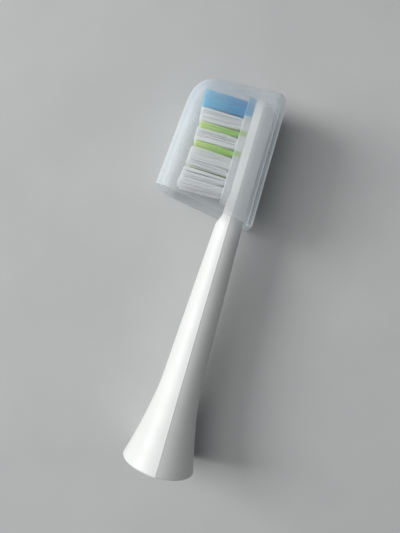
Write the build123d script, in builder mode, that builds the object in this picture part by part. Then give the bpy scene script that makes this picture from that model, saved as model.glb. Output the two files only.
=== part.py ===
"""Slip-on sonic toothbrush head lying on its side, under its clear travel cap.

Millimetres. The origin is the middle of the drive socket's mouth, in the plane of the skirt's rim.
+X runs along the drive axis to the tip, +Y the way the bristles point, and +Z up.
"""

from math import cos, radians, sin, sqrt, tan
import os

from build123d import *

os.makedirs("parts", exist_ok=True)

# Moulded body: trumpet skirt, tapering neck and head, each given as half-sizes about the drive axis
brush_length = 82.2
rim_depth = 8.0
rim_half_width = 8.4
flare_length = 18.0
flare_power = 1.5
neck_root_depth = 4.5
neck_root_half_width = 4.75
neck_front_depth = 2.75
neck_back_depth = 3.2
neck_half_width = 3.15
head_swell_length = 8.0
head_length = 21.2
head_half_width = 5.5
head_back_depth = 3.05
head_front_depth = 6.0
ridge_fraction = 0.08
rim_chamfer = 0.3

# Front of the head: a flat seat that runs down from the shoulder, with a pocket for the tuft roots
seat_height = 1.75
seat_heel = 2.7
shoulder_angle = 23.0
shoulder_radius = 3.0
pocket_depth = 1.0
pocket_ledge = 0.6

# Skirt cavity and the core hole that holds the drive sleeve
skirt_wall = 1.35
cavity_depth = 9.0
core_end = 26.0

# Drive sleeve: a round socket, then a narrower keyed stretch with a window for the leaf spring
sleeve_radius = 3.05
sleeve_clearance = 0.05
socket_radius = 2.0
round_length = 13.0
key_length = 11.0
key_radius = 1.8
key_flat_height = 1.35
flange_thickness = 1.2
flange_clearance = 0.3
sleeve_chamfer = 0.3
window_width = 2.4
window_margin = 0.5

# Leaf spring that presses the drive shaft against the key flat
spring_width = 2.0
spring_thickness = 0.3
spring_end_gap = 0.2
spring_seat_gap = 0.03
spring_preload = 0.3

# Bristle plate
plate_thickness = 1.55
plate_length = 23.55
plate_rim = 0.25
plate_heel_radius = 2.2
plate_edge_chamfer = 0.3

# Tufts, in rows across the head from heel to tip: colour of the outer pair, of the inner pair, and length
tuft_rows = (
    ("white", "white", 1.5),
    ("white", "white", 1.5),
    ("white", "green", 1.1),
    ("white", "white", 2.5),
    ("green", "green", 1.1),
    ("white", "white", 2.5),
    ("green", "green", 1.1),
    ("white", "white", 2.5),
    ("blue", "blue", 1.8),
    (None, "blue", 1.8),
)
tuft_width = 1.8
tuft_corner = 0.4
tuft_clearance = 0.05
tuft_heel_margin = 1.05
tuft_tip_margin = 1.5
tuft_side_margin = 0.9
trim_end_height = 13.3
trim_middle_height = 12.2
green_drop = 0.4

# Travel cap
cap_wall = 1.0
cap_tip_gap = 0.95
cap_back_gap = 0.35
cap_bristle_gap = 0.9
cap_side_draft = 1.0
cap_front_draft = 4.2
cap_back_draft = 0.5
cap_crown_tilt = 3.8
cap_front_radius = 4.5
cap_back_radius = 2.2
cap_length = 29.65
cap_mouth_slant = 8.4

# Worked out from the sizes above
QUARTER_ROUND = 0.5523
head_start = brush_length - head_length
neck_end = head_start - head_swell_length
tip_centre = brush_length - head_half_width
pocket_floor = seat_height - pocket_depth
plate_half_width = head_half_width - plate_rim
plate_start = brush_length - plate_rim - plate_length
seat_start = plate_start - seat_heel
core_radius = sleeve_radius + sleeve_clearance
tuft_start = plate_start + tuft_heel_margin
tuft_end = plate_start + plate_length - tuft_tip_margin
tuft_gap = (tuft_end - tuft_start - sum(length for outer, inner, length in tuft_rows)) / (len(tuft_rows) - 1)
column_pitch = (plate_half_width - tuft_side_margin - tuft_width / 2) / 1.5


def body_half_size(x, rim, root, top, head):
    """One half-size of the body at x: a flare, a straight taper, then a smooth swell into the head."""
    slope = (top - root) / (neck_end - flare_length)
    size = root + slope * (min(x, neck_end) - flare_length)
    if x < flare_length:
        flare = rim - root + slope * flare_length
        size += flare * (1 - x / flare_length) ** flare_power
    share = min(max((x - neck_end) / head_swell_length, 0), 1)
    return size + (head - size) * share**2 * (3 - 2 * share)


def body_front(x):
    return body_half_size(x, rim_depth, neck_root_depth, neck_front_depth, head_front_depth)


def body_back(x):
    return body_half_size(x, rim_depth, neck_root_depth, neck_back_depth, head_back_depth)


def body_side(x):
    return body_half_size(x, rim_half_width, neck_root_half_width, neck_half_width, head_half_width)


def quarter_curve(depth, half_width):
    """A quarter of the body's section, from the parting ridge round to the middle of one half."""
    Bezier(
        (0, half_width),
        (QUARTER_ROUND * depth, half_width * (1 - ridge_fraction)),
        (depth, QUARTER_ROUND * half_width),
        (depth, 0),
    )


def body_section(x, inset=0.0):
    """The body's whole section at x: four quarter curves that meet in a ridge on each side."""
    side = body_side(x) - inset
    with BuildSketch(Plane.YZ.offset(x)) as section:
        with BuildLine():
            for depth in (body_front(x) - inset, inset - body_back(x)):
                for half_width in (side, -side):
                    quarter_curve(depth, half_width)
        make_face()
    return section.sketch


def steps_between(start, end, number):
    """Places along X from start to end, without start."""
    return [start + (end - start) * step / number for step in range(1, number + 1)]


def front_plane(height):
    """A plane facing +Y, the way the bristles point."""
    return Plane((0, height, 0), x_dir=(1, 0, 0), z_dir=(0, 1, 0))


def plate_outline(inset):
    """Edges of the bristle plate's outline: round at the tip, square with soft corners at the heel."""
    half_width = plate_half_width - inset
    heel = plate_start + inset
    radius = plate_heel_radius - inset
    corner = radius * (1 - sqrt(0.5))
    Line((heel + radius, -half_width), (tip_centre, -half_width))
    ThreePointArc((tip_centre, -half_width), (tip_centre + half_width, 0), (tip_centre, half_width))
    Line((tip_centre, half_width), (heel + radius, half_width))
    ThreePointArc(
        (heel + radius, half_width),
        (heel + corner, half_width - corner),
        (heel, half_width - radius),
    )
    Line((heel, half_width - radius), (heel, radius - half_width))
    ThreePointArc(
        (heel, radius - half_width),
        (heel + corner, corner - half_width),
        (heel + radius, -half_width),
    )


def tuft_places():
    """Colour, length and place on the plate of each tuft, row by row from the heel."""
    places = []
    row_start = tuft_start
    for outer, inner, length in tuft_rows:
        for column, colour in ((-1.5, outer), (-0.5, inner), (0.5, inner), (1.5, outer)):
            if colour:
                places.append((colour, length, row_start + length / 2, column * column_pitch))
        row_start += length + tuft_gap
    return places


def tuft_section(length, growth):
    """A tuft's section, with its corners cut off, grown by the same amount on every side."""
    with BuildSketch() as section:
        Rectangle(length + 2 * growth, tuft_width + 2 * growth)
        chamfer(section.vertices(), tuft_corner)
    return section.sketch


# Brush body
body_steps = [rim_chamfer]
body_steps += steps_between(rim_chamfer, flare_length, 9)
body_steps += steps_between(flare_length, neck_end, 6)
body_steps += steps_between(neck_end, head_start, 8)
body_steps += [tip_centre]

with BuildPart() as brush_body:
    loft([body_section(0, rim_chamfer)] + [body_section(x) for x in body_steps], ruled=True)
    with BuildSketch(Plane.YZ.offset(tip_centre)):
        with BuildLine():
            quarter_curve(head_front_depth, head_half_width)
            quarter_curve(-head_back_depth, head_half_width)
            Line((-head_back_depth, 0), (head_front_depth, 0))
        make_face()
    revolve(axis=Axis((tip_centre, 0, 0), (0, 1, 0)), revolution_arc=180)
    # Seat and shoulder, cut down through the front of the head
    cut_top = seat_height + head_front_depth
    cut_run = head_front_depth / tan(radians(shoulder_angle))
    cut_end = brush_length + head_half_width
    with BuildSketch(Plane.XY):
        with BuildLine():
            FilletPolyline(
                (seat_start - cut_run, cut_top),
                (seat_start, seat_height),
                (cut_end, seat_height),
                radius=shoulder_radius,
            )
            Polyline((cut_end, seat_height), (cut_end, cut_top), (seat_start - cut_run, cut_top))
        make_face()
    extrude(amount=2 * head_half_width, both=True, mode=Mode.SUBTRACT)
    # Pocket under the bristle plate
    with BuildSketch(front_plane(pocket_floor)):
        with BuildLine():
            plate_outline(pocket_ledge)
        make_face()
    extrude(amount=2 * pocket_depth, mode=Mode.SUBTRACT)
    # Skirt cavity and core hole
    cavity_roof_radius = body_front(cavity_depth) - skirt_wall
    with BuildSketch(Plane.XY):
        with BuildLine():
            Polyline(
                (0, 0),
                (0, rim_depth - skirt_wall),
                (cavity_depth, cavity_roof_radius),
                (cavity_depth, core_radius),
                (core_end, core_radius),
                (core_end, 0),
                close=True,
            )
        make_face()
    revolve(axis=Axis.X, mode=Mode.SUBTRACT)
brush_body.part.label = "brush_body"
export_step(brush_body.part, "parts/brush_body.step")

# Drive sleeve
with BuildPart() as drive_sleeve:
    flange_radius = cavity_roof_radius - flange_clearance
    with BuildSketch(Plane.XY):
        with BuildLine():
            Polyline(
                (0, 0),
                (0, sleeve_radius - sleeve_chamfer),
                (sleeve_chamfer, sleeve_radius),
                (cavity_depth - flange_thickness, sleeve_radius),
                (cavity_depth - flange_thickness, flange_radius),
                (cavity_depth, flange_radius),
                (cavity_depth, sleeve_radius),
                (core_end, sleeve_radius),
                (core_end, 0),
                close=True,
            )
        make_face()
    revolve(axis=Axis.X)
    with BuildSketch(Plane.YZ):
        Circle(socket_radius)
    extrude(amount=round_length, mode=Mode.SUBTRACT)
    with BuildSketch(Plane.YZ.offset(round_length)):
        Circle(key_radius)
        with Locations((key_flat_height, 0)):
            Rectangle(key_radius, 2 * key_radius, align=(Align.MIN, Align.CENTER), mode=Mode.SUBTRACT)
    extrude(amount=key_length, mode=Mode.SUBTRACT)
    # Window in the back wall, along the keyed stretch
    window_start = round_length + window_margin
    window_length = key_length - 2 * window_margin
    with BuildSketch(Plane.XZ):
        with Locations((window_start + window_length / 2, 0)):
            Rectangle(window_length, window_width)
    extrude(amount=2 * sleeve_radius, mode=Mode.SUBTRACT)
drive_sleeve.part.label = "drive_sleeve"
export_step(drive_sleeve.part, "parts/drive_sleeve.step")

# Retaining spring: a bowed leaf whose ends lean on the core hole and whose bow reaches into the socket
spring_start = window_start + spring_end_gap
spring_end = window_start + window_length - spring_end_gap
spring_middle = (spring_start + spring_end) / 2
end_outside = sqrt((core_radius - spring_seat_gap) ** 2 - (spring_width / 2) ** 2)
end_inside = end_outside - spring_thickness
bow_inside = key_radius - spring_preload
bow_outside = bow_inside + spring_thickness
with BuildPart() as retaining_spring:
    with BuildSketch(Plane.XY):
        with BuildLine():
            ThreePointArc(
                (spring_start, -end_inside), (spring_middle, -bow_inside), (spring_end, -end_inside)
            )
            Line((spring_end, -end_inside), (spring_end, -end_outside))
            ThreePointArc(
                (spring_end, -end_outside), (spring_middle, -bow_outside), (spring_start, -end_outside)
            )
            Line((spring_start, -end_outside), (spring_start, -end_inside))
        make_face()
    extrude(amount=spring_width / 2, both=True)
retaining_spring.part.label = "retaining_spring"
export_step(retaining_spring.part, "parts/retaining_spring.step")

# Bristle plate
with BuildPart() as bristle_plate:
    with BuildSketch(front_plane(seat_height)):
        with BuildLine():
            plate_outline(0)
        make_face()
        for colour, length, x, side in tuft_places():
            with Locations((x, side)):
                add(tuft_section(length, tuft_clearance), mode=Mode.SUBTRACT)
    extrude(amount=plate_thickness)
    front_face = bristle_plate.faces().sort_by(Axis.Y)[-1]
    chamfer(front_face.outer_wire().edges(), plate_edge_chamfer)
bristle_plate.part.label = "bristle_plate"
export_step(bristle_plate.part, "parts/bristle_plate.step")

# Tufts: from the pocket floor through the plate and up to the hollow trim
trim_middle = (tuft_start + tuft_end) / 2
trim_ends = (tuft_start - tuft_width, tuft_end + tuft_width)
trim_top = 2 * trim_end_height
tuft_numbers = {"white": 0, "green": 0, "blue": 0}
for colour, length, x, side in tuft_places():
    drop = green_drop if colour == "green" else 0
    with BuildPart() as tuft:
        with BuildSketch(front_plane(pocket_floor)):
            with Locations((x, side)):
                add(tuft_section(length, 0))
        extrude(amount=trim_end_height - pocket_floor)
        with BuildSketch(Plane.XY):
            with BuildLine():
                ThreePointArc(
                    (trim_ends[0], trim_end_height - drop),
                    (trim_middle, trim_middle_height - drop),
                    (trim_ends[1], trim_end_height - drop),
                )
                Polyline(
                    (trim_ends[1], trim_end_height - drop),
                    (trim_ends[1], trim_top),
                    (trim_ends[0], trim_top),
                    (trim_ends[0], trim_end_height - drop),
                )
            make_face()
        extrude(amount=2 * plate_half_width, both=True, mode=Mode.SUBTRACT)
    tuft_numbers[colour] += 1
    tuft.part.label = f"tuft_{colour}_{tuft_numbers[colour]:02d}"
    export_step(tuft.part, f"parts/{tuft.part.label}.step")

# Travel cap: a crown round the tip, a front wall that flares to the mouth, and a slanted mouth
cap_top = brush_length + cap_tip_gap + cap_wall
cap_mouth_back = cap_top - cap_length
cap_start = cap_mouth_back - cap_wall
cap_back_top = head_back_depth + cap_back_gap + cap_wall
cap_front_top = trim_end_height + cap_bristle_gap + cap_wall
crown_tilt = radians(cap_crown_tilt)
side_draft = radians(cap_side_draft)
cap_rounding = [radians(angle) for angle in (0, 11, 22, 33, 45, 57, 68, 79, 90)]
crown_radius = (rim_half_width - cap_length * tan(side_draft)) / (1 / cos(side_draft) - tan(side_draft))


def cap_section(wall_height, slope, offset, inset):
    """The cap's plan in a plane beside its front or back wall: drafted sides and a round crown."""
    height = (offset + wall_height * cos(slope)) / cos(crown_tilt - slope)
    apex = (cap_top - height * sin(crown_tilt), height * cos(crown_tilt), 0)
    radius = crown_radius - inset
    tangent_x = radius * sin(side_draft) - crown_radius
    tangent_z = radius * cos(side_draft)
    start_x = cap_start - cap_top - inset
    start_z = tangent_z + (tangent_x - start_x) * tan(side_draft)
    plane = Plane(apex, x_dir=(cos(slope), sin(slope), 0), z_dir=(-sin(slope), cos(slope), 0))
    with BuildSketch(plane) as section:
        with BuildLine():
            Line((start_x, start_z), (tangent_x, tangent_z))
            ThreePointArc((tangent_x, tangent_z), (radius - crown_radius, 0), (tangent_x, -tangent_z))
            Polyline((tangent_x, -tangent_z), (start_x, -start_z), (start_x, start_z))
        make_face()
    return section.sketch


def cap_block(inset):
    """The cap's outer form, moved inwards by inset: plans stacked from its back wall to its front wall."""
    back_radius = cap_back_radius - inset
    front_radius = cap_front_radius - inset
    sections = []
    for angle in cap_rounding:
        depth = inset + back_radius * (1 - cos(angle))
        margin = inset + back_radius * (1 - sin(angle))
        sections.append(cap_section(-cap_back_top, radians(cap_back_draft), depth, margin))
    for angle in reversed(cap_rounding):
        depth = inset + front_radius * (1 - cos(angle))
        margin = inset + front_radius * (1 - sin(angle))
        sections.append(cap_section(cap_front_top, radians(-cap_front_draft), -depth, margin))
    return loft(sections, ruled=True)


cap_outside = cap_block(0)
cap_inside = cap_block(cap_wall)
with BuildPart() as protective_cap:
    add(cap_outside)
    add(cap_inside, mode=Mode.SUBTRACT)
    # Slanted mouth, further up the front wall than the back
    mouth_depth = cap_front_top + 2 * cap_back_top
    mouth_run = mouth_depth * tan(radians(cap_mouth_slant))
    with BuildSketch(Plane.XY):
        with BuildLine():
            Polyline(
                (cap_mouth_back, -cap_back_top),
                (cap_mouth_back + mouth_run, mouth_depth - cap_back_top),
                (cap_start - cap_length, mouth_depth - cap_back_top),
                (cap_start - cap_length, -2 * cap_back_top),
                (cap_mouth_back - cap_back_top * tan(radians(cap_mouth_slant)), -2 * cap_back_top),
                close=True,
            )
        make_face()
    extrude(amount=2 * rim_half_width, both=True, mode=Mode.SUBTRACT)
protective_cap.part.label = "protective_cap"
export_step(protective_cap.part, "parts/protective_cap.step")
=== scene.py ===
import math
import random

import bmesh
import bpy
from mathutils import Matrix, Vector
from mathutils.bvhtree import BVHTree


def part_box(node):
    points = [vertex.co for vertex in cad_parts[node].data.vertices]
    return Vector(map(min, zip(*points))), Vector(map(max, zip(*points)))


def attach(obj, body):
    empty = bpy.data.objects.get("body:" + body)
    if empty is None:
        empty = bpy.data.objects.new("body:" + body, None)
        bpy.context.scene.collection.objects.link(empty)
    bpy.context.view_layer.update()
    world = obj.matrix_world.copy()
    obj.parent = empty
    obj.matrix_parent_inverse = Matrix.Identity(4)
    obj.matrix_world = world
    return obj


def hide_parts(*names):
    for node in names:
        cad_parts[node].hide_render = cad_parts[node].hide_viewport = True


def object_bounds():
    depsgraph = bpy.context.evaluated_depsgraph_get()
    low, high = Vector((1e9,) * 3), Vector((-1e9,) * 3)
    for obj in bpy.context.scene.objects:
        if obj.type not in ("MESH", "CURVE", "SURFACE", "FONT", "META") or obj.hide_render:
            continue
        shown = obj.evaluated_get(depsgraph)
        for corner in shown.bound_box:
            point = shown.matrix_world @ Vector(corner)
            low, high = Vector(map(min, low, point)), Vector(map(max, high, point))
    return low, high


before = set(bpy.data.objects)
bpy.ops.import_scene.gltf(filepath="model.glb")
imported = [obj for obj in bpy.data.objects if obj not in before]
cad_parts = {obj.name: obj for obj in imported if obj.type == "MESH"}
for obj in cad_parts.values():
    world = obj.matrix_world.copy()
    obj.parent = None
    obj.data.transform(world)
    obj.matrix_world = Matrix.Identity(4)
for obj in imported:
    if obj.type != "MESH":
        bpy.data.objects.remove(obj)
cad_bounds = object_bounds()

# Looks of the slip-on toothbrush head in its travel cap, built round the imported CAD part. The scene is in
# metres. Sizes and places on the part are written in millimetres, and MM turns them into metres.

MM = 0.001

# Sizes that repeat the part's own
PLATE_FRONT = 3.3
TIP_CENTRE = 76.7
TRIM_MIDDLE_X = 69.95
TRIM_HALF_RUN = 12.3
TRIM_MIDDLE = 12.2
TRIM_END = 13.3
TRIM_RISE = 1.1
GREEN_DROP = 0.4
TUFT_CORNER = 0.4

# Angles in degrees from which an edge of a solid stays sharp, smaller on the body for the sake of its ridge
BODY_CREASE = 15
CREASE = 28
# Points of a solid that are this near to each other are welded
WELD_DISTANCE = 0.002
# A face of the plate is the wall of a hole if its normal is tilted this little and a tuft is this near
WALL_TILT = 0.1
BORE_MARGIN = 0.1

# Filaments, packed in staggered rows
FILAMENT_RADIUS = 0.099
FILAMENT_PITCH = 0.2
FILAMENT_SIDES = 5
ROW_STEP = 0.866 * FILAMENT_PITCH
# Share of the free length, share of the sway and size of each ring; the first ring is at the root
FILAMENT_RINGS = (
    (-1.0, 0.0, 1.0),
    (0.0, 0.0, 1.0),
    (0.05, 0.35, 1.0),
    (0.3, 0.62, 1.0),
    (0.65, 0.85, 1.0),
    (0.97, 0.99, 0.85),
    (1.0, 1.0, 0.4),
)
# How far a tuft's edge fans out at the trim
FAN = 0.3
GREEN_FAN = 0.12
# Random lean of a tuft, random spread of its tips, and the share of filaments that stray further
LEAN_ALONG = 0.12
LEAN_ACROSS = 0.1
TIP_SPREAD = 0.11
TIP_UNEVEN = 0.3
STRAY_SHARE = 0.06
STRAY_TIMES = 2.2
# The white tufts beside and outside the first green pair lean apart, so that a line of green shows
LEANS = {
    "tuft_white_05": -0.2,
    "tuft_white_06": -0.2,
    "tuft_white_07": -0.2,
    "tuft_white_08": -0.2,
    "tuft_white_09": 0.45,
    "tuft_white_10": 0.45,
}

# Marks of the mould on the body: the line along its ridge and the stub of the gate, whose rings each have a
# size and a height
PARTING_START = 0.6
PARTING_RADIUS = 0.07
PARTING_PROUD = 0.03
PARTING_STEPS = 60
PARTING_SIDES = 6
GATE_PLACE = (67.0, -0.8)
GATE_RADIUS = 0.32
GATE_HEIGHT = 0.04
GATE_SIDES = 20
GATE_RINGS = ((1.15, -0.3), (1.0, 0.0), (0.95, 0.8), (0.8, 1.0), (0.3, 0.85))
# The marks are set by rays that fall on the body from this height, and a little beside the edge of its ridge
RAY_HEIGHT = 30.0
RIDGE_OFFSET = 0.002

# Floor, light and camera, with places in metres and the focal length in pixels of an image of this height
FLOOR_REACH = 1.5
LAMP_AIM = (0.045, 0.0, 0.0)
WORLD_STRENGTH = 0.11
IMAGE_HEIGHT = 533
FOCAL_PIXELS = 500
CAMERA_PLACE = (0.0436, 0.0033, 0.109)
CAMERA_RIGHT = (0.2823, -0.9593, 0.0)
CAMERA_UP = (0.9593, 0.2823, 0.0)


def linear(red, green, blue):
    """A colour given in 0 to 255 display values, as the shader wants it."""
    values = []
    for value in (red, green, blue):
        share = value / 255
        values.append(share / 12.92 if share <= 0.04045 else ((share + 0.055) / 1.055) ** 2.4)
    return (*values, 1.0)


class Nodes:
    """A new material and short ways to add and join its nodes."""

    def __init__(self, name):
        self.material = bpy.data.materials.new(name)
        self.material.use_nodes = True
        self.tree = self.material.node_tree
        self.tree.nodes.clear()
        self.output = self.add("ShaderNodeOutputMaterial")

    def add(self, kind, **settings):
        node = self.tree.nodes.new(kind)
        for key, value in settings.items():
            setattr(node, key, value)
        return node

    def join(self, source, target):
        self.tree.links.new(source, target)

    def coordinates(self):
        return self.add("ShaderNodeTexCoord").outputs["Object"]

    def axes(self):
        """The piece's own X, Y and Z, each as a socket."""
        split = self.add("ShaderNodeSeparateXYZ")
        self.join(self.coordinates(), split.inputs["Vector"])
        return split.outputs

    def noise(self, scale, detail=3.0, vector=None):
        node = self.add("ShaderNodeTexNoise")
        node.inputs["Scale"].default_value = scale
        node.inputs["Detail"].default_value = detail
        self.join(vector or self.coordinates(), node.inputs["Vector"])
        return node.outputs["Fac"]

    def mottle(self, scale, low, high):
        """A noise spread between two values."""
        return self.spread(self.noise(scale), low, high, 0.3, 0.7)

    def ramp(self, source, low, high, start=0.0, end=1.0):
        """Two colours, blended from start to end of the source."""
        node = self.add("ShaderNodeValToRGB")
        node.color_ramp.elements[0].position = start
        node.color_ramp.elements[0].color = low
        node.color_ramp.elements[1].position = end
        node.color_ramp.elements[1].color = high
        self.join(source, node.inputs["Fac"])
        return node.outputs["Color"]

    def spread(self, source, low, high, start=0.0, end=1.0):
        """The source, from start to end, as values from low to high."""
        node = self.add("ShaderNodeMapRange")
        node.inputs["From Min"].default_value = start
        node.inputs["From Max"].default_value = end
        node.inputs["To Min"].default_value = low
        node.inputs["To Max"].default_value = high
        self.join(source, node.inputs["Value"])
        return node.outputs["Result"]

    def bands(self, source, stops):
        """Colours at places along a length, in millimetres, as a blend between them."""
        first = stops[0][0]
        last = stops[-1][0]
        node = self.add("ShaderNodeValToRGB")
        elements = node.color_ramp.elements
        while len(elements) < len(stops):
            elements.new(1.0)
        for element, (spot, colour) in zip(elements, stops):
            element.position = (spot - first) / (last - first)
            element.color = colour
        self.join(self.spread(source, 0.0, 1.0, first * MM, last * MM), node.inputs["Fac"])
        return node.outputs["Color"]

    def times(self, first, second):
        node = self.add("ShaderNodeMath", operation="MULTIPLY")
        self.join(first, node.inputs[0])
        self.join(second, node.inputs[1])
        return node.outputs["Value"]

    def bump(self, height, strength, distance):
        node = self.add("ShaderNodeBump")
        node.inputs["Strength"].default_value = strength
        node.inputs["Distance"].default_value = distance
        self.join(height, node.inputs["Height"])
        return node.outputs["Normal"]

    def principled(self, **values):
        node = self.add("ShaderNodeBsdfPrincipled")
        for key, value in values.items():
            node.inputs[key.replace("_", " ")].default_value = value
        return node

    def mix(self, share, first, second):
        """Two shaders mixed, by a plain share of the second or by a socket."""
        node = self.add("ShaderNodeMixShader")
        if isinstance(share, float):
            node.inputs["Fac"].default_value = share
        else:
            self.join(share, node.inputs["Fac"])
        self.join(first, node.inputs[1])
        self.join(second, node.inputs[2])
        return node.outputs["Shader"]

    def finish(self, shader):
        self.join(shader, self.output.inputs["Surface"])
        return self.material


def moulded_plastic(name, dark, light, grain):
    """Moulded satin plastic with a faint mottle in its colour and gloss, and a fine grain."""
    nodes = Nodes(name)
    shader = nodes.principled(IOR=1.49)
    nodes.join(nodes.ramp(nodes.noise(90.0), dark, light, 0.3, 0.7), shader.inputs["Base Color"])
    nodes.join(nodes.mottle(240.0, 0.4, 0.5), shader.inputs["Roughness"])
    nodes.join(nodes.bump(nodes.noise(2600.0, 2.0), grain, 0.00004), shader.inputs["Normal"])
    return nodes.finish(shader.outputs["BSDF"])


def clear_plastic(name, colour, face_haze, edge_haze, glow, roughness, grain_scale, grain, frost=()):
    """Thin see-through plastic, with a milky haze and gloss that grow towards its edges.

    colour is the haze's colour, one colour or a list of places along X in millimetres with the colour there;
    such a list can hold bands of painted light.
    glow is the share of the haze that passes light on. frost is a list of pairs of places along Y in
    millimetres, with how many times the haze counts there.
    """
    nodes = Nodes(name)
    clear = nodes.add("ShaderNodeBsdfTransparent")
    clear.inputs["Color"].default_value = linear(254, 254, 254)
    haze = nodes.principled(IOR=1.49)
    through = nodes.add("ShaderNodeBsdfTranslucent")
    axes = nodes.axes()
    for socket in (haze.inputs["Base Color"], through.inputs["Color"]):
        if isinstance(colour, list):
            nodes.join(nodes.bands(axes["X"], colour), socket)
        else:
            socket.default_value = colour
    nodes.join(nodes.mottle(70.0, roughness - 0.06, roughness + 0.06), haze.inputs["Roughness"])
    nodes.join(nodes.bump(nodes.noise(grain_scale, 2.0), grain, 0.00006), haze.inputs["Normal"])
    edge = nodes.add("ShaderNodeLayerWeight")
    edge.inputs["Blend"].default_value = 0.3
    share = nodes.spread(edge.outputs["Facing"], face_haze, edge_haze)
    share = nodes.times(share, nodes.mottle(160.0, 0.85, 1.15))
    for (start, low), (end, high) in frost:
        share = nodes.times(share, nodes.spread(axes["Y"], low, high, start * MM, end * MM))
    milk = nodes.mix(glow, haze.outputs["BSDF"], through.outputs["BSDF"])
    return nodes.finish(nodes.mix(share, clear.outputs["BSDF"], milk))


def nylon(name, root, tip):
    """Nylon filament, paler towards its tip, each filament a little different."""
    nodes = Nodes(name)
    shader = nodes.principled(
        IOR=1.53,
        Roughness=0.38,
        Specular_IOR_Level=0.45,
        Subsurface_Weight=0.4,
        Subsurface_Scale=0.0003,
        Subsurface_Radius=(1.0, 1.0, 1.0),
    )
    along = nodes.spread(nodes.axes()["Y"], 0.0, 1.0, PLATE_FRONT * MM, TRIM_END * MM)
    shade = nodes.add("ShaderNodeHueSaturation")
    nodes.join(nodes.ramp(along, root, tip, 0.25, 1.0), shade.inputs["Color"])
    island = nodes.add("ShaderNodeNewGeometry").outputs["Random Per Island"]
    nodes.join(nodes.spread(island, 0.97, 1.03), shade.inputs["Value"])
    nodes.join(shade.outputs["Color"], shader.inputs["Base Color"])
    return nodes.finish(shader.outputs["BSDF"])


def spring_steel(name):
    """Rolled strip steel with fine lines along its length."""
    nodes = Nodes(name)
    shader = nodes.principled(Base_Color=linear(190, 192, 195), Metallic=1.0)
    stretch = nodes.add("ShaderNodeMapping")
    stretch.inputs["Scale"].default_value = (0.04, 1.0, 1.0)
    nodes.join(nodes.coordinates(), stretch.inputs["Vector"])
    lines = nodes.noise(6000.0, 2.0, stretch.outputs["Vector"])
    nodes.join(nodes.spread(lines, 0.2, 0.4, 0.3, 0.7), shader.inputs["Roughness"])
    nodes.join(nodes.bump(lines, 0.1, 0.00002), shader.inputs["Normal"])
    return nodes.finish(shader.outputs["BSDF"])


def pale_floor(name):
    """Matt pale floor with a faint mottle."""
    nodes = Nodes(name)
    shader = nodes.principled(Roughness=0.75, Specular_IOR_Level=0.25)
    tones = nodes.ramp(nodes.noise(40.0, 4.0), linear(196, 197, 197), linear(203, 204, 203), 0.3, 0.7)
    nodes.join(tones, shader.inputs["Base Color"])
    return nodes.finish(shader.outputs["BSDF"])


def place(piece, body, slot, material, *nodes):
    """Gives a new piece its material and its body, and hides the CAD nodes that it stands for; slot is not
    used.
    """
    piece.data.materials.clear()
    piece.data.materials.append(material)
    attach(piece, body)
    if nodes:
        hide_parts(*nodes)


def new_piece(name, mesh):
    piece = bpy.data.objects.new(name, mesh)
    bpy.context.scene.collection.objects.link(piece)
    return piece


def smooth_copy(name, node, crease_angle):
    """A CAD node's own form as one welded skin, smooth everywhere but at its creases."""
    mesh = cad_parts[node].data.copy()
    mesh.name = name
    work = bmesh.new()
    work.from_mesh(mesh)
    bmesh.ops.remove_doubles(work, verts=work.verts, dist=WELD_DISTANCE * MM)
    for face in work.faces:
        face.smooth = True
    for edge in work.edges:
        edge.smooth = edge.is_manifold and edge.calc_face_angle(0.0) < math.radians(crease_angle)
    work.to_mesh(mesh)
    work.free()
    if "custom_normal" in mesh.attributes:
        mesh.attributes.remove(mesh.attributes["custom_normal"])
    return new_piece(name, mesh)


def tube_piece(name, tubes):
    """A piece made of closed tubes with smooth sides, each a list of rings of points in millimetres."""
    verts = []
    faces = []
    for rings in tubes:
        sides = len(rings[0])
        start = len(verts)
        for ring in rings:
            verts.extend([value * MM for value in point] for point in ring)
        last = len(verts) - sides
        faces.append(list(range(start, start + sides)))
        for base in range(start, last, sides):
            for side in range(sides):
                after = (side + 1) % sides
                faces.append([base + after, base + side, base + sides + side, base + sides + after])
        faces.append(list(range(last + sides - 1, last - 1, -1)))
    mesh = bpy.data.meshes.new(name)
    mesh.from_pydata(verts, [], faces)
    mesh.polygons.foreach_set("use_smooth", [len(face) == 4 for face in faces])
    return new_piece(name, mesh)


def ring_of(centre, first, second, sides, start_angle=0.0):
    """Points round a centre, from the first arm of the ring towards the second."""
    ring = []
    for side in range(sides):
        angle = start_angle + math.tau * side / sides
        ring.append(centre + first * math.cos(angle) + second * math.sin(angle))
    return ring


def body_surface():
    """The body's solid as a search tree, to set marks on its surface."""
    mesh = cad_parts["brush_body"].data
    verts = [vert.co for vert in mesh.vertices]
    faces = [face.vertices for face in mesh.polygons]
    return BVHTree.FromPolygons(verts, faces)


def surface_below(surface, x, y):
    """The place on the body's upper side at x and y, in millimetres, and the way it faces."""
    spot, normal, _, _ = surface.ray_cast(Vector((x, y, RAY_HEIGHT)) * MM, Vector((0.0, 0.0, -1.0)))
    return spot / MM, normal


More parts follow.
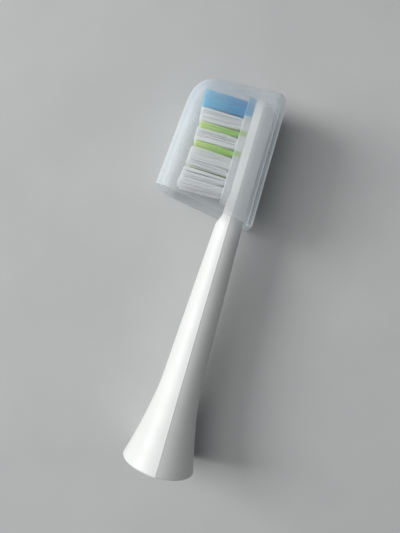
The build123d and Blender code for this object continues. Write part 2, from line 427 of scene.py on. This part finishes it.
def parting_line(name):
    """The fine raised line that the mould leaves along the ridge, from the rim round the tip and back."""
    surface = body_surface()
    upper = []
    for step in range(PARTING_STEPS + 1):
        x = PARTING_START + (TIP_CENTRE - PARTING_START) * step / PARTING_STEPS
        upper.append((x, surface_below(surface, x, RIDGE_OFFSET)[0].z))
    tip_radius = upper[-1][1]
    for degrees in range(80, 0, -10):
        angle = math.radians(degrees)
        upper.append((TIP_CENTRE + tip_radius * math.cos(angle), tip_radius * math.sin(angle)))
    lower = [(x, -z) for x, z in reversed(upper)]
    route = [Vector((x, 0.0, z)) for x, z in upper + [(TIP_CENTRE + tip_radius, 0.0)] + lower]
    rings = []
    for index, spot in enumerate(route):
        along = (route[min(index + 1, len(route) - 1)] - route[max(index - 1, 0)]).normalized()
        outward = Vector((-along.z, 0.0, along.x))
        middle = spot - outward * (PARTING_RADIUS - PARTING_PROUD)
        arms = (outward * PARTING_RADIUS, Vector((0.0, PARTING_RADIUS, 0.0)))
        rings.append(ring_of(middle, *arms, PARTING_SIDES))
    return tube_piece(name, [rings])


def gate_mark(name):
    """The low round stub that the mould's gate leaves on the side of the head."""
    centre, normal = surface_below(body_surface(), *GATE_PLACE)
    across = normal.cross(Vector((0.0, 1.0, 0.0))).normalized()
    other = across.cross(normal)
    rings = []
    for size, height in GATE_RINGS:
        radius = GATE_RADIUS * size
        middle = centre + normal * GATE_HEIGHT * height
        rings.append(ring_of(middle, across * radius, other * radius, GATE_SIDES))
    return tube_piece(name, [rings])


def mark_bores(plate):
    """Gives the walls of the plate's tuft holes the second material."""
    margin = BORE_MARGIN * MM
    tuft_boxes = [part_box(name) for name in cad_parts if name.startswith("tuft_")]
    for face in plate.data.polygons:
        x, _, z = face.center
        is_wall = abs(face.normal.y) <= WALL_TILT
        for low, high in tuft_boxes:
            inside = low[0] - margin < x < high[0] + margin and low[2] - margin < z < high[2] + margin
            if is_wall and inside:
                face.material_index = 1


def trim_height(x, colour):
    """Height of the hollow trim at x, in millimetres."""
    drop = GREEN_DROP if colour == "green" else 0.0
    return TRIM_MIDDLE - drop + TRIM_RISE * ((x - TRIM_MIDDLE_X) / TRIM_HALF_RUN) ** 2


def filament_roots(half_length, half_width):
    """Places of the filaments across one tuft, in a staggered pattern, with the tuft's corners left out."""
    roots = []
    rows = int(2 * half_width / ROW_STEP)
    columns = int(2 * half_length / FILAMENT_PITCH)
    reach_x = half_length - FILAMENT_RADIUS
    reach_z = half_width - FILAMENT_RADIUS
    reach_both = half_length + half_width - TUFT_CORNER - FILAMENT_RADIUS
    for row in range(rows + 1):
        z = (row - rows / 2) * ROW_STEP
        shift = 0.25 if row % 2 else -0.25
        for column in range(columns + 1):
            x = (column - columns / 2 + shift) * FILAMENT_PITCH
            if abs(x) < reach_x and abs(z) < reach_z and abs(x) + abs(z) < reach_both:
                roots.append((x, z))
    return roots


def filament_tuft(node, colour, seed):
    """One tuft as a bundle of end-rounded filaments that fan out a little above the plate."""
    dice = random.Random(seed)
    low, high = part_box(node)
    centre_x = (low[0] + high[0]) / 2 / MM
    centre_z = (low[2] + high[2]) / 2 / MM
    half_length = (high[0] - low[0]) / 2 / MM
    half_width = (high[2] - low[2]) / 2 / MM
    floor_y = low[1] / MM
    lean_x = LEANS[node] if node in LEANS else dice.gauss(0, LEAN_ALONG)
    lean_z = dice.gauss(0, LEAN_ACROSS)
    fan = GREEN_FAN if colour == "green" else FAN
    tubes = []
    for root_x, root_z in filament_roots(half_length, half_width):
        stray = STRAY_TIMES if dice.random() < STRAY_SHARE else 1.0
        tip_x = lean_x + fan * root_x / half_length + dice.gauss(0, TIP_SPREAD) * stray
        tip_z = lean_z + fan * root_z / half_width + dice.gauss(0, TIP_SPREAD) * stray
        x = centre_x + root_x
        z = centre_z + root_z
        top = trim_height(x + tip_x, colour) - dice.uniform(0.0, TIP_UNEVEN)
        start_angle = dice.uniform(0, math.tau)
        rings = []
        for share, sway, size in FILAMENT_RINGS:
            height = floor_y if share < 0 else PLATE_FRONT + (top - PLATE_FRONT) * share
            middle = Vector((x + tip_x * sway, height, z + tip_z * sway))
            radius = FILAMENT_RADIUS * size
            arms = (Vector((radius, 0.0, 0.0)), Vector((0.0, 0.0, radius)))
            rings.append(ring_of(middle, *arms, FILAMENT_SIDES, start_angle))
        tubes.append(rings)
    return tube_piece(node.replace("tuft", "bristles"), tubes)


def soft_lamp(name, spot, size, watts):
    """A round area lamp that faces the part."""
    lamp = bpy.data.lights.new(name, "AREA")
    lamp.shape = "DISK"
    lamp.size = size
    lamp.energy = watts
    holder = bpy.data.objects.new(name, lamp)
    holder.location = spot
    holder.rotation_euler = (Vector(LAMP_AIM) - Vector(spot)).to_track_quat("-Z", "Y").to_euler()
    bpy.context.scene.collection.objects.link(holder)


# Materials; the clear plate's haze carries painted light in bands, the green and blue of the tufts that
# stand in it, painted where their colour shows through the plate
body_white = moulded_plastic("body_white", linear(228, 229, 227), linear(235, 236, 234), 0.05)
sleeve_grey = moulded_plastic("sleeve_grey", linear(196, 199, 202), linear(208, 211, 214), 0.12)
steel = spring_steel("spring_steel")
plate_white = linear(250, 252, 252)
# Painted light: the colours that the green and blue tufts cast into the clear plate, set as bands of its
# haze colour
painted_green_tuft_light = linear(206, 236, 164)
painted_blue_tuft_light = linear(126, 194, 236)
plate_white_and_painted_tuft_light = [
    (58.4, plate_white),
    (67.5, plate_white),
    (67.8, painted_green_tuft_light),
    (68.6, painted_green_tuft_light),
    (68.9, plate_white),
    (71.9, plate_white),
    (72.2, painted_green_tuft_light),
    (73.0, painted_green_tuft_light),
    (73.3, plate_white),
    (76.1, plate_white),
    (76.6, painted_blue_tuft_light),
    (81.9, painted_blue_tuft_light),
]
plate_clear = clear_plastic(
    "plate_clear",
    plate_white_and_painted_tuft_light,
    face_haze=0.7,
    edge_haze=0.85,
    glow=0.15,
    roughness=0.16,
    grain_scale=900.0,
    grain=0.03,
)
plate_bore = clear_plastic(
    "plate_bore",
    plate_white,
    face_haze=0.02,
    edge_haze=0.12,
    glow=0.2,
    roughness=0.16,
    grain_scale=900.0,
    grain=0.03,
)
cap_frosted = clear_plastic(
    "cap_frosted",
    linear(240, 247, 251),
    face_haze=0.1,
    edge_haze=0.8,
    glow=0.25,
    roughness=0.34,
    grain_scale=1500.0,
    grain=0.12,
    frost=[((1.0, 1.6), (4.5, 1.0)), ((4.0, 0.8), (13.0, 1.2))],
)
filament_materials = {
    "white": nylon("bristle_white", linear(250, 251, 251), linear(252, 253, 253)),
    "green": nylon("bristle_green", linear(172, 232, 56), linear(226, 246, 136)),
    "blue": nylon("bristle_blue", linear(0, 164, 224), linear(64, 204, 248)),
}

# Pieces that keep the form of their solids
body = smooth_copy("body_skin", "brush_body", BODY_CREASE)
place(body, "brush", "body_white", body_white, "brush_body")
sleeve = smooth_copy("sleeve_skin", "drive_sleeve", CREASE)
place(sleeve, "brush", "sleeve_grey", sleeve_grey, "drive_sleeve")
spring = smooth_copy("spring_leaf", "retaining_spring", CREASE)
place(spring, "brush", "spring_steel", steel, "retaining_spring")
plate = smooth_copy("plate_skin", "bristle_plate", CREASE)
place(plate, "brush", "plate_clear", plate_clear, "bristle_plate")
plate.data.materials.append(plate_bore)
mark_bores(plate)
cap = smooth_copy("cap_skin", "protective_cap", CREASE)
place(cap, "cap", "cap_frosted", cap_frosted, "protective_cap")

# Marks of the mould
place(parting_line("parting_line"), "brush", "body_white", body_white)
place(gate_mark("gate_mark"), "brush", "body_white", body_white)

# Bristles
tuft_nodes = sorted(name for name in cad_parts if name.startswith("tuft_"))
for seed, node in enumerate(tuft_nodes):
    colour = node.split("_")[1]
    bundle = filament_tuft(node, colour, seed)
    place(bundle, "brush", "bristle_" + colour, filament_materials[colour], node)

# Floor
floor_z = cad_bounds[0][2]
corners = [(-1, -1), (1, -1), (1, 1), (-1, 1)]
floor_mesh = bpy.data.meshes.new("floor")
floor_verts = [(FLOOR_REACH * x, FLOOR_REACH * y, floor_z) for x, y in corners]
floor_mesh.from_pydata(floor_verts, [], [(0, 1, 2, 3)])
floor = new_piece("floor", floor_mesh)
floor.data.materials.append(pale_floor("floor"))

# Lamps
soft_lamp("key", spot=(0.06, 0.83, 0.5), size=0.48, watts=6.8)
soft_lamp("overhead", spot=(0.08, 0.44, 0.84), size=0.8, watts=3.2)

# A faint even light from all round, seen as a pale backdrop
world = bpy.data.worlds.new("studio")
bpy.context.scene.world = world
world.use_nodes = True
world_nodes = world.node_tree.nodes
world_links = world.node_tree.links
light = world_nodes["Background"]
light.inputs["Color"].default_value = (0.86, 0.9, 0.95, 1.0)
light.inputs["Strength"].default_value = WORLD_STRENGTH
backdrop = world_nodes.new("ShaderNodeBackground")
backdrop.inputs["Color"].default_value = linear(206, 208, 210)
rays = world_nodes.new("ShaderNodeLightPath")
seen = rays.outputs["Is Camera Ray"]
for ray in ("Is Glossy Ray", "Is Transmission Ray"):
    total = world_nodes.new("ShaderNodeMath")
    total.use_clamp = True
    world_links.new(seen, total.inputs[0])
    world_links.new(rays.outputs[ray], total.inputs[1])
    seen = total.outputs["Value"]
choice = world_nodes.new("ShaderNodeMixShader")
world_links.new(seen, choice.inputs["Fac"])
world_links.new(light.outputs["Background"], choice.inputs[1])
world_links.new(backdrop.outputs["Background"], choice.inputs[2])
world_links.new(choice.outputs["Shader"], world_nodes["World Output"].inputs["Surface"])

# Camera, straight above the part
camera_data = bpy.data.cameras.new("camera")
camera_data.lens = camera_data.sensor_width * FOCAL_PIXELS / IMAGE_HEIGHT
camera_data.clip_start = 0.005
camera = bpy.data.objects.new("camera", camera_data)
turn = Matrix((CAMERA_RIGHT, CAMERA_UP, (0.0, 0.0, 1.0))).transposed()
camera.matrix_world = Matrix.Translation(CAMERA_PLACE) @ turn.to_4x4()
bpy.context.scene.collection.objects.link(camera)
bpy.context.scene.camera = camera
bpy.context.scene.view_settings.view_transform = "Standard"
